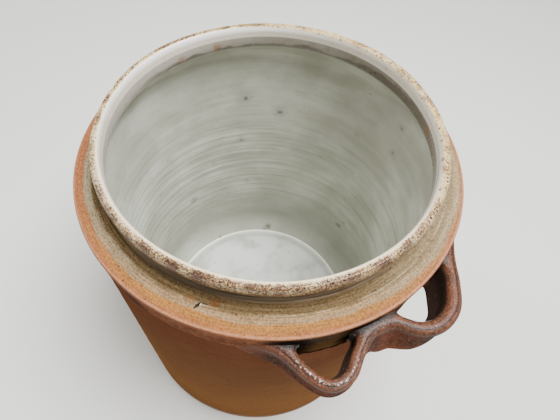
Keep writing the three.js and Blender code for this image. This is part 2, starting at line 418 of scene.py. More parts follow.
def strap_distance(x, y, z):
    """Distance from each point of a grid to the strap's surface, negative inside it.

    Also returns each column's signed distance across the strap, positive outwards.
    """
    stops = np.array([
        (r * math.cos(math.radians(a)), r * math.sin(math.radians(a)), height, lean, top)
        for a, r, height, lean, top in STRAP_ROUTE
    ])
    route = through(stops, 420)
    plan_x, plan_y = np.meshgrid(x, y, indexing="ij")
    across = (plan_x[..., None] - route[:, 0]) ** 2 + (plan_y[..., None] - route[:, 1]) ** 2
    nearest = across.argmin(axis=-1)
    tangent = np.gradient(route[:, :2], axis=0)
    tangent /= np.linalg.norm(tangent, axis=1)[:, None]
    offset_x = plan_x - route[nearest, 0]
    offset_y = plan_y - route[nearest, 1]
    side = offset_x * tangent[nearest, 1] - offset_y * tangent[nearest, 0]
    past_end = offset_x * tangent[nearest, 0] + offset_y * tangent[nearest, 1]
    height, lean, top_r = [route[nearest, column][..., None] for column in (2, 3, 4)]

    top_z = STRAP_TOP - top_r
    drop = top_z - (STRAP_TOP - height + STRAP_BOTTOM_R)
    down = top_z - z
    lateral = side[..., None]
    share = np.clip((down * drop - lateral * lean) / (drop ** 2 + lean ** 2), 0.0, 1.0)
    waist = WAIST * np.sin(np.pi * share) ** 2
    radius = top_r + (STRAP_BOTTOM_R - top_r) * share - waist
    flat = np.hypot(lateral + share * lean, down - share * drop)
    crease_at = np.hypot(lateral - 0.35 * top_r, down + 0.85 * top_r)
    first_loop = 0.1 + 0.9 * smooth(-(nearest[..., None] / len(route)), -0.55, -0.4)
    crease = first_loop * CREASE_DEPTH * np.exp(-((crease_at / CREASE_WIDTH) ** 2))
    return np.hypot(flat, past_end[..., None]) - radius + crease, side


def blended(a, b, reach):
    """The smooth union of two distance fields."""
    overlap = np.maximum(reach - np.abs(a - b), 0.0)
    return np.minimum(a, b) - overlap ** 2 / (4.0 * reach)


def softened(field, passes):
    """The field with each sample evened out with its neighbours."""
    for _ in range(passes):
        for axis in range(3):
            ahead = np.concatenate([np.take(field, range(1, field.shape[axis]), axis),
                                    np.take(field, [-1], axis)], axis)
            behind = np.concatenate([np.take(field, [0], axis),
                                     np.take(field, range(field.shape[axis] - 1), axis)], axis)
            field = 0.5 * field + 0.25 * (ahead + behind)
    return field


def strap_solid():
    """The strap with its smeared roots: its points and quads, on the true pot."""
    low, high = np.array(STRAP_BOX)
    x, y, z = [np.arange(a, b, VOXEL) for a, b in zip(low, high)]
    strap, side = strap_distance(x, y, z)
    plan_r = np.hypot(*np.meshgrid(x, y, indexing="ij"))
    wall = plan_r[..., None] - wall_radius(z)[None, None, :]
    field = blended(strap, wall + SINK, BLEND)
    field = np.maximum(field, strap - HEM)
    field = np.maximum(field, -(wall + ROOT_DEPTH))
    low_part = smooth(-z, -SOFT_TOP, -SOFT_FULL)[None, None, :]
    field = field + low_part * (softened(field, SOFT_PASSES) - field)
    field = field + TOP_FADE * smooth(z, STRAP_TOP - 1.0, STRAP_TOP + 4.0)[None, None, :]
    grid = openvdb.FloatGrid(background=FIELD_REACH)
    grid.copyFromArray(np.clip(field, -FIELD_REACH, FIELD_REACH).astype(np.float32))
    points, quads = grid.convertToQuads(isovalue=0.0)
    cells = np.clip(np.round(points).astype(int), 0, [len(x) - 1, len(y) - 1, len(z) - 1])
    facing = side[cells[:, 0], cells[:, 1]]
    clearance = strap[cells[:, 0], cells[:, 1], cells[:, 2]]
    return low + points * VOXEL, quads, facing, clearance


def strap_piece(name, solid, azimuth):
    """One strap, turned about the pot's axis to its side."""
    points, quads, facing, clearance = solid
    cosine, sine = math.cos(math.radians(azimuth)), math.sin(math.radians(azimuth))
    rest = np.column_stack([
        points[:, 0] * cosine - points[:, 1] * sine,
        points[:, 0] * sine + points[:, 1] * cosine,
        points[:, 2],
    ])
    piece = make_piece(name, thrown(rest), quads[:, ::-1].tolist(), rest, math.radians(70))
    for label, values in (("facing", facing), ("clearance", clearance)):
        layer = piece.data.attributes.new(label, "FLOAT", "POINT")
        layer.data.foreach_set("value", values.astype(np.float32))
    return piece


# ---- glazes ----------------------------------------------------------------------------

def on_pot(azimuth, radius, z):
    """A place by its azimuth in degrees, its distance from the axis and its height."""
    turn = math.radians(azimuth)
    return (radius * math.cos(turn), radius * math.sin(turn), z)


def tone(red, green, blue):
    """A screen colour, 0 to 255, as a linear shader colour."""
    return tuple((channel / 255.0) ** 2.2 for channel in (red, green, blue)) + (1.0,)


class Value:
    """What a node gives out. Arithmetic with it writes more nodes of the same material."""

    def __init__(self, glaze, socket):
        self.glaze = glaze
        self.socket = socket

    def beside(self, output):
        """Another output of the same node."""
        return Value(self.glaze, self.socket.node.outputs[output])

    def __add__(self, other):
        return self.glaze.maths("ADD", self, other)

    def __sub__(self, other):
        return self.glaze.maths("SUBTRACT", self, other)

    def __rsub__(self, other):
        return self.glaze.maths("SUBTRACT", other, self)

    def __mul__(self, other):
        return self.glaze.maths("MULTIPLY", self, other)

    def __truediv__(self, other):
        return self.glaze.maths("DIVIDE", self, other)

    __radd__ = __add__
    __rmul__ = __mul__

    def rise(self, low, high, bottom=0.0, top=1.0):
        """From bottom to top in an even S while this goes from low to high."""
        sockets = {"Value": self, "From Min": low, "From Max": high, "To Min": bottom, "To Max": top}
        return self.glaze.node("ShaderNodeMapRange", sockets, interpolation_type="SMOOTHSTEP")

    def between(self, low, high, soft):
        """1 while this is between low and high, fading to 0 over soft on both sides."""
        return self.rise(low - soft, low + soft) * self.rise(high + soft, high - soft)

    def layer(self, share, over, strength=1.0):
        """This colour with another laid over it where share is 1."""
        return self.glaze.mix(share * strength, self, over)

    def shade(self, amount):
        """This colour made lighter or darker by a value about 1."""
        grey = self.glaze.node("ShaderNodeCombineColor", {0: amount, 1: amount, 2: amount})
        return self.glaze.node("ShaderNodeMix", {0: 1.0, 6: self, 7: grey}, 2,
                               data_type="RGBA", blend_type="MULTIPLY")


class Glaze:
    """Writes the nodes of one material.

    Places are millimetres on the true pot, before the potter's hand bent it. East and north
    are the parts of the direction out from the axis, along +X and +Y.
    """

    def __init__(self, name):
        self.material = bpy.data.materials.new(name)
        self.material.use_nodes = True
        self.tree = self.material.node_tree
        self.shader = self.tree.nodes["Principled BSDF"]
        self.place = self.vector("SCALE", self.attribute("pot", "Vector"), scale=1.0 / MM)
        self.x = self.node("ShaderNodeSeparateXYZ", {0: self.place})
        self.y = self.x.beside(1)
        self.z = self.x.beside(2)
        self.radius = self.maths("SQRT", self.x * self.x + self.y * self.y)
        self.east = self.x / self.radius
        self.north = self.y / self.radius
        stray = self.vector("SUBTRACT", self.noise(0.35, detail=3.0, colour=True), (0.5, 0.5, 0.5))
        self.ragged = self.vector("ADD", self.place, self.vector("SCALE", stray, scale=7.0))
        stray = self.vector("SCALE", self.noise(1.4, colour=True), scale=1.1)
        self.frayed = self.vector("ADD", self.place, stray)

    def node(self, kind, values, output=0, **settings):
        made = self.tree.nodes.new(kind)
        for setting, value in settings.items():
            setattr(made, setting, value)
        for socket, value in values.items():
            self.feed(made.inputs[socket], value)
        return Value(self, made.outputs[output])

    def feed(self, socket, value):
        if isinstance(value, Value):
            self.tree.links.new(value.socket, socket)
        else:
            socket.default_value = value

    def attribute(self, name, output):
        return self.node("ShaderNodeAttribute", {}, output, attribute_name=name)

    def maths(self, operation, a, b=0.0):
        return self.node("ShaderNodeMath", {0: a, 1: b}, operation=operation)

    def vector(self, operation, a, b=(0.0, 0.0, 0.0), scale=1.0, output=0):
        sockets = {0: a, 1: b, 3: scale}
        return self.node("ShaderNodeVectorMath", sockets, output, operation=operation)

    def either(self, a, b):
        return self.maths("MAXIMUM", a, b)

    def noise(self, scale, detail=2.0, roughness=0.5, vector=None, colour=False):
        sockets = {"Vector": vector or self.place, "Scale": scale,
                   "Detail": detail, "Roughness": roughness}
        return self.node("ShaderNodeTexNoise", sockets, "Color" if colour else "Fac")

    def streaks(self, around, across, detail=2.0, roughness=0.5):
        """Noise drawn out round the pot: around is steps a radian, across steps a millimetre."""
        level = (self.z - self.radius) * across
        vector = self.node("ShaderNodeCombineXYZ",
                           {0: self.east * around, 1: self.north * around, 2: level})
        return self.noise(1.0, detail, roughness, vector)

    def specks(self, size, amount):
        """Small ragged grains of about a size; amount is the share of the places that hold one."""
        gap = self.node("ShaderNodeTexVoronoi", {"Vector": self.frayed, "Scale": 0.3 / size}, "Distance")
        picks = self.node("ShaderNodeSeparateColor", {0: gap.beside("Color")})
        chosen = picks.rise(amount, amount - 0.01)
        reach = picks.beside(1).rise(0.0, 1.0, 0.22, 0.42)
        return (gap - reach).rise(0.05, -0.05) * chosen

    def toward(self, azimuth, sharpness):
        """1 on one side of the pot, fading away to both sides of it."""
        turn = math.radians(azimuth)
        facing = self.east * math.cos(turn) + self.north * math.sin(turn)
        return facing.rise(math.cos(math.radians(sharpness)), 1.0)

    def spot(self, azimuth, radius, z, size, soft=0.5):
        """1 within about size of a point of the surface."""
        gap = self.vector("DISTANCE", self.ragged, on_pot(azimuth, radius, z), output="Value")
        return gap.rise(size, size * (1.0 - soft))

    def dash(self, azimuth, radius, z, length, width, lean=0.0):
        """1 along a short stroke that runs round the pot; lean tips it, in degrees."""
        offset = self.vector("SUBTRACT", self.place, on_pot(azimuth, radius, z))
        run = on_pot(azimuth + 90.0, 1.0, 0.0)
        rest = on_pot(azimuth, 1.0, 0.0) if z > EDGE_Z else (0.0, 0.0, 1.0)
        cosine, sine = math.cos(math.radians(lean)), math.sin(math.radians(lean))
        along = tuple(cosine * a + sine * b for a, b in zip(run, rest))
        beside = tuple(-sine * a + cosine * b for a, b in zip(run, rest))
        along = self.vector("DOT_PRODUCT", offset, along, output="Value") / (length / 2.0)
        beside = self.vector("DOT_PRODUCT", offset, beside, output="Value") / (width / 2.0)
        reach = self.maths("SQRT", along * along + beside * beside)
        near = self.vector("LENGTH", offset, output="Value")
        return reach.rise(1.1, 0.6) * near.rise(length, length * 0.8)

    def mix(self, share, under, over):
        sockets = {0: share, 6: under, 7: over}
        return self.node("ShaderNodeMix", sockets, 2, data_type="RGBA", clamp_factor=True)

    def finish(self, colour, roughness, height, coat=0.0, specular=0.5):
        """Colour and roughness into the shader, with height in millimetres as bumps."""
        self.feed(self.shader.inputs["Base Color"], colour)
        self.feed(self.shader.inputs["Roughness"], roughness)
        self.shader.inputs["Coat Weight"].default_value = coat
        self.shader.inputs["Coat Roughness"].default_value = 0.12
        self.shader.inputs["Specular IOR Level"].default_value = specular
        bump = self.node("ShaderNodeBump", {"Strength": 1.0, "Distance": MM, "Height": height})
        self.feed(self.shader.inputs["Normal"], bump)
        return self.material


# Iron spots and smears inside the pot: azimuth in degrees, radius, height, size in
# millimetres and how strongly they show.
IRON_SPOTS = [
    (158.7, 149.4, 268, 4.4, 0.7),
    (142.7, 148.6, 247, 4.6, 0.75),
    (161.1, 147.4, 199, 3.4, 0.6),
    (84.3, 150.4, 308, 3.8, 0.5),
    (83.5, 149.4, 273, 2.6, 0.6),
    (157.9, 144.8, 115, 3.0, 0.6),
    (104.0, 148.9, 255, 2.2, 0.35),
    (119.0, 147.0, 190, 2.2, 0.3),
    (-160.0, 147.7, 215, 2.6, 0.35),
    (176.0, 146.2, 165, 2.4, 0.3),
    (60.0, 146.9, 180, 3.0, 0.4),
    (-20.0, 148.7, 250, 3.6, 0.5),
    (10.0, 146.6, 170, 3.0, 0.5),
]
BROWN_SMEARS = [
    (-170.0, 144.7, 110, 9.0, 0.4),
    (98.2, 143.9, 83, 8.5, 0.5),
    (143.5, 130.0, 13, 7.5, 0.65),
    (95.0, 144.5, 98, 5.0, 0.35),
    (178.9, 125.5, 12, 3.6, 0.6),
    (146.1, 125.5, 12, 3.6, 0.6),
]
WHITE_SPECKS = [(97.3, 147.2, 198, 2.4, 0.8), (-176.0, 148.0, 226, 1.8, 0.5)]

IRON = tone(74, 54, 38)
CELADON_DARK = tone(142, 144, 131)
CELADON = tone(192, 193, 178)
CELADON_LIGHT = tone(213, 214, 203)
CHALK = tone(225, 228, 222)


def inside_colour(glaze):
    """The pale grey-green glaze inside the pot, thin over the throwing rings."""
    clouds = glaze.noise(0.018, 3.0)
    wiped = glaze.streaks(2.2, 0.035, 3.0, 0.55)
    rings = glaze.streaks(1.1, 0.11, 3.0, 0.55)
    fine = glaze.streaks(3.0, 0.8, 2.0)
    colour = glaze.mix(wiped.rise(0.34, 0.66), CELADON, CELADON_LIGHT)
    colour = colour.layer(clouds.rise(0.6, 0.35), CELADON_DARK, 0.3)
    deep = glaze.z.between(85.0, 235.0, 40.0)
    colour = colour.layer(rings.rise(0.52, 0.3) * deep, CELADON_DARK, 0.45)
    colour = colour.layer(rings.rise(0.54, 0.75), CELADON_LIGHT, 0.25)
    colour = colour.shade(fine.rise(0.3, 0.7, 0.95, 1.04))
    colour = colour.layer(glaze.z.rise(150.0, 30.0), CELADON_DARK, 0.6)
    colour = smears(glaze, colour)
    for azimuth, radius, z, size, strength in IRON_SPOTS:
        colour = colour.layer(glaze.spot(azimuth, radius, z, size * 3.4, 1.0), IRON, strength * 0.34)
        colour = colour.layer(glaze.spot(azimuth, radius, z, size, 1.0), IRON, strength)
    for azimuth, radius, z, size, strength in WHITE_SPECKS:
        colour = colour.layer(glaze.spot(azimuth, radius, z, size), CHALK, strength)
    pins = glaze.specks(0.8, 0.05) * glaze.noise(0.03).rise(0.5, 0.6)
    return colour.layer(pins, IRON, 0.35)


def smears(glaze, colour):
    """Brown smears low on the wall and round the floor."""
    for azimuth, radius, z, size, strength in BROWN_SMEARS:
        colour = colour.layer(glaze.spot(azimuth, radius, z, size, 0.9), IRON, strength)
    return colour


def inside_height(glaze):
    """Fine relief inside the pot, in millimetres."""
    rings = glaze.streaks(2.0, 0.35, 2.0) * 0.05
    peel = glaze.noise(0.5, 2.0) * 0.06
    return rings + peel


CLAY_RED = tone(110, 71, 53)
CLAY_TAN = tone(109, 77, 56)
CLAY_OCHRE = tone(120, 86, 60)
CLAY_GOLD = tone(134, 94, 60)
BLUSH = tone(184, 134, 104)
# Dark soot for specks; the same colour is also painted shade behind the loops and on the straps.
SOOT_AND_SHADE = tone(34, 29, 27)
# Ash grey darkened as painted shade, then painted shadow for the gaps and painted shade for the corners
# behind the loops.
ASH_AND_SHADE = tone(78, 62, 38)
GAP_SHADOW = tone(16, 13, 11)
CORNER_SHADE = tone(20, 17, 15)
CRUST = tone(26, 20, 17)


def outside_colour(glaze):
    """The salted clay of the outside wall: red-brown above, tan to ochre below."""
    clouds = glaze.noise(0.012, 3.0)
    drawn = glaze.streaks(1.6, 0.05, 3.0, 0.6)
    fine = glaze.streaks(5.0, 0.9, 3.0, 0.6)
    grain = glaze.noise(0.5, 5.0, 0.8)
    low = (glaze.z + clouds * 60.0).rise(345.0, 215.0)
    colour = glaze.mix(low, CLAY_RED, CLAY_TAN)
    colour = colour.layer(clouds.rise(0.4, 0.7), CLAY_OCHRE, 0.5)
    colour = colour.layer(drawn.rise(0.52, 0.3), CLAY_RED, 0.14)
    colour = colour.layer(glaze.z.rise(260.0, 20.0), CLAY_GOLD, 0.7)
    colour = colour.shade(fine.rise(0.3, 0.7, 0.88, 1.12))
    colour = colour.shade(grain.rise(0.3, 0.7, 0.87, 1.13))
    pale = glaze.specks(0.5, 0.05) * drawn.rise(0.45, 0.6)
    colour = colour.layer(pale, BLUSH, 0.35)
    return colour.layer(glaze.specks(0.8, 0.012), SOOT_AND_SHADE, 0.75)


def loop_shadow(glaze, colour):
    """The wall behind the loops: ash grey with painted shade over it, painted shade under the edge, and
    painted shadow in the gaps and corners, above a crusty line.
    """
    wave = glaze.z + glaze.noise(0.12, 4.0, 0.6) * 12.0
    near = glaze.either(*(loop_sides(glaze, turn) for turn in HANDLE_TURNS))
    # Ash colour with painted shade over it, behind the loops.
    ash_and_shade = wave.rise(300.0, 304.0) * near
    crust = wave.between(298.0, 302.5, 1.0) * near
    colour = colour.layer(ash_and_shade, ASH_AND_SHADE, 0.8)
    # Painted shade under the edge behind the loops.
    colour = colour.layer(wave.rise(322.0, 340.0) * near, SOOT_AND_SHADE, 0.35)
    # Painted shadow in the gaps behind each loop, and painted shade in its corners.
    for turn in HANDLE_TURNS:
        for azimuth, z in ((-27.5, 306.0), (-7.5, 312.0), (8.0, 308.0)):
            colour = colour.layer(glaze.spot(turn + azimuth, 163.0, z, 15.0, 0.8), GAP_SHADOW, 0.95)
        corners = glaze.either(glaze.toward(turn - 25.0, 8.5), glaze.toward(turn - 5.0, 8.0))
        corners = glaze.either(corners, glaze.toward(turn + 28.0, 9.0)) * wave.rise(299.0, 303.0)
        colour = colour.layer(corners, CORNER_SHADE, 0.95)
    return colour.layer(crust, CRUST, 0.95)


def loop_sides(glaze, turn):
    """1 on the wall behind a handle's two loops."""
    return glaze.either(glaze.toward(turn - 14.0, 15.0), glaze.toward(turn + 15.0, 17.0))


def outside_height(glaze):
    """The salted skin of the outside, in millimetres."""
    peel = glaze.noise(0.7, 3.0, 0.6) * 0.16
    lines = glaze.streaks(5.0, 0.9, 3.0) * 0.05
    pits = glaze.specks(0.6, 0.03) * -0.25
    return peel + lines + pits


def both_heights(glaze, inside):
    """The relief of a piece that is inside the pot where inside is 1, and outside elsewhere."""
    return glaze.node("ShaderNodeMix", {0: inside, 2: outside_height(glaze), 3: inside_height(glaze)})


def wall_glaze():
    glaze = Glaze("wall_glaze")
    skin = FOOT_R + glaze.z * FLARE - glaze.radius
    inside = skin.rise(4.0, 7.0)
    outside = loop_shadow(glaze, outside_colour(glaze))
    colour = glaze.mix(inside, outside, inside_colour(glaze))
    gloss = glaze.noise(0.05, 2.0)
    roughness = gloss.rise(0.3, 0.7, 0.5, 0.66) + inside * -0.2
    return glaze.finish(colour, roughness, both_heights(glaze, inside), specular=0.0)


LEDGE_OLIVE = tone(88, 71, 48)
LEDGE_CELADON = tone(128, 115, 96)
LEDGE_PEACH = tone(148, 94, 62)
LEDGE_OCHRE = tone(150, 102, 52)
LEDGE_OLIVE_LIGHT = tone(108, 90, 64)
LEDGE_CELADON_LIGHT = tone(150, 134, 104)
LEDGE_RIDGE = tone(176, 162, 134)
LEDGE_GREY = tone(146, 134, 108)
LEDGE_STRAW = tone(148, 130, 100)
LEDGE_RUST = tone(104, 64, 36)
CHIP = tone(40, 36, 36)
# Painted highlight in the chip.
CHIP_HIGHLIGHT = tone(206, 202, 196)
CHIP_STAIN = tone(96, 54, 28)
CHIP_HALO = tone(120, 72, 36)
SCRATCH = tone(92, 76, 60)
COMB_DARK = tone(70, 32, 18)
COMB_LIGHT = tone(178, 116, 82)
BAND_TOP = tone(152, 84, 50)
# Painted highlight along the shoulder's edge.
EDGE_HIGHLIGHT_PINK = tone(198, 142, 112)


def ledge_colour(glaze):
    """The top of the shoulder: olive at the neck, celadon, then a peach outer band."""
    drift = (glaze.noise(0.03, 3.0) - 0.5) * 7.0
    grainy = (glaze.noise(0.9, 3.0, 0.7) - 0.5) * 4.0
    along = glaze.radius + (drift + grainy)
    right = glaze.toward(50.0, 60.0)
    along = along - right * 4.5
    front = glaze.toward(-38.0, 75.0)
    drawn = glaze.streaks(2.0, 0.5, 3.0, 0.6)
    fine = glaze.streaks(5.0, 1.6, 3.0, 0.6)
    olive = glaze.mix(drawn.rise(0.35, 0.65), LEDGE_OLIVE, LEDGE_OLIVE_LIGHT)
    pale = glaze.mix(drawn.rise(0.35, 0.65), LEDGE_CELADON, LEDGE_CELADON_LIGHT)
    left = glaze.toward(-121.0, 70.0)
    colour = glaze.mix((along + left * 1.5).rise(149.0, 152.5), olive, pale)
    ridge = glaze.radius.between(150.0, 150.9, 0.4) * glaze.noise(0.03).rise(0.42, 0.6)
    colour = colour.layer(ridge, LEDGE_RIDGE, 0.6)
    warm = glaze.mix(front, LEDGE_PEACH, LEDGE_OCHRE)
    colour = colour.layer(along.rise(154.5, 156.5), warm, 0.92)
    colour = colour.layer(along.rise(158.5, 163.0), LEDGE_PEACH, 0.8)
    colour = colour.layer(left * along.between(148.5, 155.5, 1.0), LEDGE_GREY, 0.6)
    colour = colour.layer(front * along.between(150.5, 155.0, 2.0), LEDGE_OCHRE, 0.4)
    colour = colour.layer(right * along.rise(160.0, 155.0), LEDGE_STRAW, 0.6)
    colour = colour.shade(fine.rise(0.3, 0.7, 0.78, 1.2))
    grain = glaze.noise(0.6, 5.0, 0.85)
    colour = colour.shade(grain.rise(0.36, 0.64, 0.58, 1.34))
    rust = glaze.noise(0.07, 4.0, 0.65).rise(0.6, 0.7) * glaze.radius.rise(158.0, 150.0)
    colour = colour.layer(rust, LEDGE_RUST, 0.55)
    colour = colour.layer(glaze.specks(0.6, 0.035), SOOT_AND_SHADE, 0.6)
    return colour.layer(glaze.specks(1.1, 0.015), SOOT_AND_SHADE, 0.6)


def ledge_marks(glaze, colour):
    """The chip at the front left and the scratches on the right."""
    chip = glaze.either(glaze.dash(-50.0, 151.4, 345.0, 7.5, 2.6, -48.0),
                        glaze.dash(-48.3, 149.4, 345.6, 5.0, 1.2, -5.0))
    colour = colour.layer(glaze.spot(-45.5, 147.0, 346.8, 6.0, 0.9), CHIP_STAIN, 0.6)
    colour = colour.layer(glaze.spot(-53.0, 149.5, 345.6, 5.0, 0.9), CHIP_HALO, 0.5)
    colour = colour.layer(chip, CHIP, 0.95)
    # Painted highlight in the chip.
    colour = colour.layer(glaze.dash(-49.3, 150.6, 345.2, 2.4, 1.2, -60.0), CHIP_HIGHLIGHT, 0.85)
    for lean in (38.0, 68.0):
        scratch = glaze.dash(24.0, 150.5, 345.4, 11.0, 0.8, lean)
        colour = colour.layer(scratch, SCRATCH, 0.8)
    return colour


def shoulder_glaze():
    glaze = Glaze("shoulder_glaze")
    ledge_drop = glaze.z - (NECK_SEAM + (NECK_FOOT_R - glaze.radius) * LEDGE_SLOPE)
    inside = ledge_drop.rise(-2.5, -4.0) * glaze.radius.rise(158.0, 156.0)
    inside = glaze.either(inside, glaze.radius.rise(NECK_FOOT_R - 0.2, NECK_FOOT_R - 1.2))
    ledge = glaze.z.rise(EDGE_Z - 0.5, EDGE_Z + 2.4)
    band = outside_colour(glaze)
    sway = glaze.noise(0.02) * 9.0
    comb = glaze.maths("SINE", glaze.z * (2.0 * math.pi / COMB_PITCH) + sway)
    worn_comb = glaze.noise(0.25, 3.0, 0.7).rise(0.35, 0.6, 0.25, 1.0)
    band = band.layer(comb.rise(0.3, -0.9), COMB_DARK, 0.7)
    band = band.layer(comb.rise(0.1, 0.9) * worn_comb, COMB_LIGHT, 0.7)
    band = band.layer(glaze.z.between(EDGE_Z - 4.5, EDGE_Z - 0.5, 1.5), BAND_TOP, 0.6)
    band = loop_shadow(glaze, band)
    colour = glaze.mix(ledge, band, ledge_marks(glaze, ledge_colour(glaze)))
    # Painted highlight along the rounded edge, broken up by noise.
    highlight_breaks = glaze.noise(0.5, 4.0, 0.8).rise(0.3, 0.6, 0.25, 1.0)
    edge = glaze.z.between(EDGE_Z + 1.4, EDGE_Z + 2.9, 0.8)
    edge = edge * glaze.radius.rise(EDGE_R - 2.6, EDGE_R - 1.6)
    colour = colour.layer(edge * highlight_breaks, EDGE_HIGHLIGHT_PINK, 0.7)
    colour = glaze.mix(inside, colour, inside_colour(glaze))
    roughness = glaze.noise(0.08, 2.0).rise(0.3, 0.7, 0.42, 0.6)
    return glaze.finish(colour, roughness, both_heights(glaze, inside), specular=0.02)


LILAC = tone(166, 158, 145)
LILAC_PAINTED_LIGHT = tone(196, 188, 178)
STAIN = tone(86, 74, 58)
LILAC_GREY = tone(170, 164, 152)
THROAT_SHADE = tone(126, 116, 102)
THROAT_RUST = tone(150, 104, 62)
NECK_STRAW = tone(140, 120, 94)
NECK_SHADE = tone(70, 54, 42)
NECK_RUST = tone(92, 58, 38)


def throat_colour(glaze):
    """The smooth lilac-grey glaze inside the neck, stained along its lower edge."""
    clouds = glaze.noise(0.05, 3.0)
    colour = glaze.mix(clouds.rise(0.35, 0.65), LILAC, LILAC_GREY)
    # Painted light on the left of the throat, and painted shade on its right side.
    left = glaze.toward(-135.0, 80.0)
    colour = colour.layer(left, LILAC_PAINTED_LIGHT, 0.7)
    scallops = glaze.z + (glaze.noise(0.045, 3.0) - 0.5) * 16.0
    back = glaze.either(glaze.toward(112.0, 75.0), glaze.toward(170.0, 50.0))
    side = glaze.toward(84.0, 48.0)
    colour = colour.layer(side, THROAT_SHADE, 0.7)
    wedge = glaze.toward(78.0, 40.0) * 7.0
    stain = scallops.rise(345.0, 348.0) * back * (scallops - wedge).rise(355.5, 351.5)
    colour = colour.layer(stain, STAIN, 0.75)
    rust = glaze.either(glaze.spot(65.0, 134.8, 357.0, 9.0, 0.8),
                        glaze.spot(172.0, 135.0, 356.0, 8.0, 0.8))
    rust = glaze.either(rust, glaze.spot(-172.0, 135.0, 355.0, 6.0, 0.8))
    colour = colour.layer(rust, THROAT_RUST, 0.55)
    return colour.layer(glaze.specks(0.6, 0.04), IRON, 0.5)


def neck_glaze():
    glaze = Glaze("neck_glaze")
    inside = glaze.radius.rise(NECK_R - 0.6, NECK_R - 1.4)
    drawn = glaze.streaks(2.0, 0.4, 3.0, 0.6)
    outer = glaze.mix(drawn.rise(0.35, 0.65), LEDGE_OLIVE, NECK_STRAW)
    # Painted shade darkens the neck towards the rim above it.
    outer = outer.layer(glaze.z.rise(NECK_SEAM + 5.5, RIM_SEAM - 0.5), NECK_SHADE, 0.75)
    outer = outer.layer(glaze.noise(0.08, 3.0).rise(0.58, 0.7), NECK_RUST, 0.5)
    colour = glaze.mix(inside, outer, throat_colour(glaze))
    lower = inside * glaze.z.rise(NECK_SEAM + 2.5, NECK_SEAM - 0.5)
    colour = colour.layer(lower, CELADON, 0.8)
    roughness = glaze.noise(0.1).rise(0.3, 0.7, 0.4, 0.55) + inside * -0.16
    return glaze.finish(colour, roughness, both_heights(glaze, inside))


# Rust patches on the rim: azimuth in degrees, radius, height, size in millimetres.
RIM_RUST = [
    (-82.0, 143.4, 369.0, 6.5),
    (-52.0, 143.6, 368.0, 6.0),
    (-41.0, 143.4, 370.0, 4.0),
    (-4.0, 143.0, 371.0, 6.0),
    (11.0, 142.6, 372.0, 5.0),
    (19.0, 142.4, 372.5, 6.5),
    (31.0, 142.0, 373.0, 4.5),
    (-140.0, 143.4, 369.0, 5.0),
    (-112.0, 143.0, 371.0, 4.5),
    (118.0, 143.0, 371.0, 6.0),
    (96.0, 142.6, 372.0, 5.5),
    (77.0, 142.6, 372.0, 4.5),
    (172.0, 143.0, 371.0, 5.0),
]

RIM_CREAM = tone(230, 202, 138)
RIM_CREAM_LIGHT = tone(240, 218, 164)
RIM_INSIDE = tone(238, 229, 214)
RIM_INSIDE_WARM = tone(246, 222, 180)
RIM_OCHRE = tone(158, 98, 48)
RIM_BROWN = tone(58, 30, 17)
RIM_DUST = tone(132, 80, 42)
RIM_SPECK = tone(50, 28, 18)
RIM_PATCH = tone(92, 48, 26)
# Painted highlight, then painted shade under the rim.
RIM_PAINTED_HIGHLIGHT = tone(253, 251, 246)
RIM_UNDER_SHADE = tone(86, 58, 40)
RIM_SMUDGE = tone(120, 98, 74)


